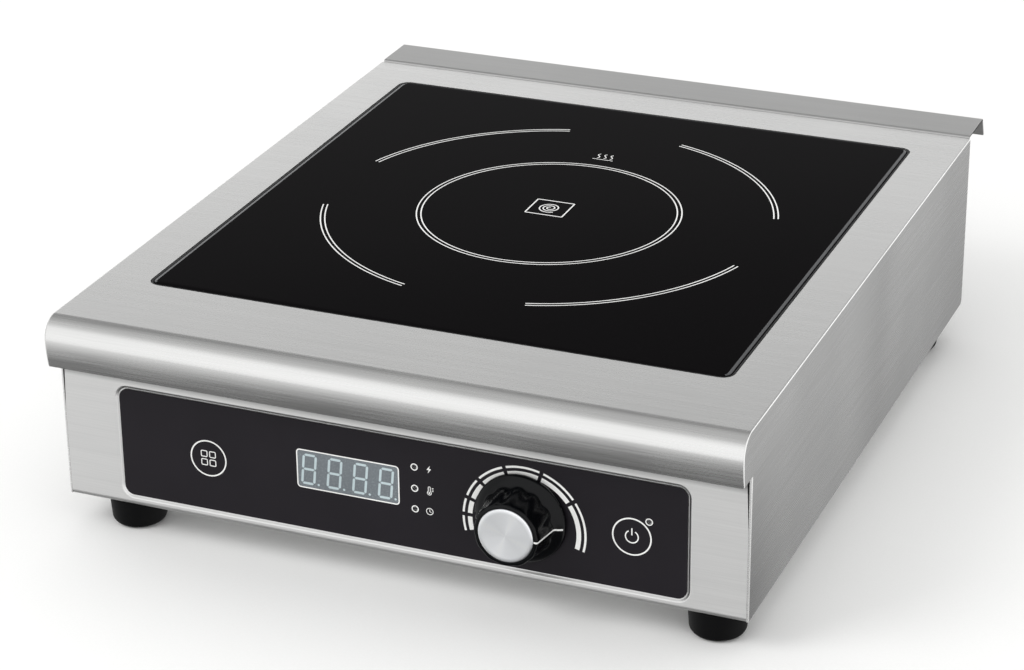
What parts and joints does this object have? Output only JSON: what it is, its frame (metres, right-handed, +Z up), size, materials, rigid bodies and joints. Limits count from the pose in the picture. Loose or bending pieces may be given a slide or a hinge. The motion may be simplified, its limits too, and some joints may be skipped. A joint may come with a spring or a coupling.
{
  "type": "induction hob",
  "caption": "Free-standing countertop induction hob: steel box casing with bullnosed front, flush black glass plate, front panel with keys, display and rotary knob, rear air hood, rubber feet.",
  "frame": {"origin": "centre of the footprint, on the table plane under the feet", "axes": "+X to the right seen from the front, +Y to the rear, +Z up; the front panel faces -Y"},
  "size_m": [0.33, 0.405, 0.1091],
  "materials": {
    "steel": "fine straight brushed grain, satin",
    "glass_ceramic": "polished opaque black",
    "silicone": "matte black",
    "overlay": "fine satin texture, dark grey",
    "lens": "clear grey window",
    "knob_plastic": "glossy black moulding",
    "spun_aluminium": "spun, bright",
    "lamp": "translucent, unlit",
    "foot_rubber": "matte moulded",
    "plastic": "moulded, matte",
    "circuit_board": "green solder mask",
    "brass": "turned",
    "copper_wire": "enamelled wire",
    "ferrite": "sintered dark grey",
    "mica": "pressed sheet",
    "capacitor_case": "moulded case",
    "cable_sheath": "smooth sheath",
    "screw_steel": "zinc plated"
  },
  "bodies": {
    "casing": {"top_cover": "steel", "glass_plate": "glass_ceramic", "glass_seal": "silicone", "rear_hood": "steel", "chassis_tray": "steel", "control_overlay": "overlay", "display_window": "lens", "display_module": "plastic", "switch_function": "plastic", "switch_power": "plastic", "led_power_level": "lamp", "led_temperature": "lamp", "led_timer": "lamp", "led_on": "lamp", "encoder_body": "plastic", "encoder_nut": "screw_steel", "control_pcb": "circuit_board", "buzzer": "plastic", "ribbon_cable": "cable_sheath", "coil_former": "plastic", "coil_winding": "copper_wire", "mica_sheet": "mica", "temperature_sensor": "spun_aluminium", "power_pcb": "circuit_board", "heat_sink": "spun_aluminium", "transistor_1": "plastic", "transistor_2": "plastic", "bridge_rectifier": "plastic", "filter_capacitor": "capacitor_case", "resonant_capacitor": "capacitor_case", "choke": "copper_wire", "fan_frame_left": "plastic", "fan_frame_right": "plastic", "power_cord": "cable_sheath", "cord_gland": "plastic", "mains_plug": "cable_sheath", "ferrite_1": "ferrite", "ferrite_2": "ferrite", "ferrite_3": "ferrite", "ferrite_4": "ferrite", "ferrite_5": "ferrite", "ferrite_6": "ferrite", "coil_support_1": "plastic", "coil_support_2": "plastic", "coil_support_3": "plastic", "foot_front_left": "foot_rubber", "foot_screw_front_left": "screw_steel", "foot_front_right": "foot_rubber", "foot_screw_front_right": "screw_steel", "foot_rear_left": "foot_rubber", "foot_screw_rear_left": "screw_steel", "foot_rear_right": "foot_rubber", "foot_screw_rear_right": "screw_steel"},
    "knob": {"knob_body": "knob_plastic", "knob_cap": "spun_aluminium", "encoder_shaft": "brass"},
    "power_key": {"button_power": "overlay"},
    "function_key": {"button_function": "overlay"},
    "left_fan_rotor": {"fan_rotor_left": "plastic"},
    "right_fan_rotor": {"fan_rotor_right": "plastic"}
  },
  "joints": [
    {"name": "knob_turn", "type": "hinge", "parent": "casing", "child": "knob", "pos_m": [0.061, -0.1833, 0.047], "axis": [0, -1, 0], "range_deg": [-20, 207]},
    {"name": "power_key_press", "type": "slide", "parent": "casing", "child": "power_key", "axis": [0, 1, 0], "range_m": [0, 0.0005]},
    {"name": "function_key_press", "type": "slide", "parent": "casing", "child": "function_key", "axis": [0, 1, 0], "range_m": [0, 0.0005]},
    {"name": "left_fan_spin", "type": "hinge", "parent": "casing", "child": "left_fan_rotor", "pos_m": [-0.058, -0.1113, 0.03], "axis": [0, 0, 1], "continuous": true},
    {"name": "right_fan_spin", "type": "hinge", "parent": "casing", "child": "right_fan_rotor", "pos_m": [0.058, -0.1113, 0.03], "axis": [0, 0, 1], "continuous": true}
  ]
}
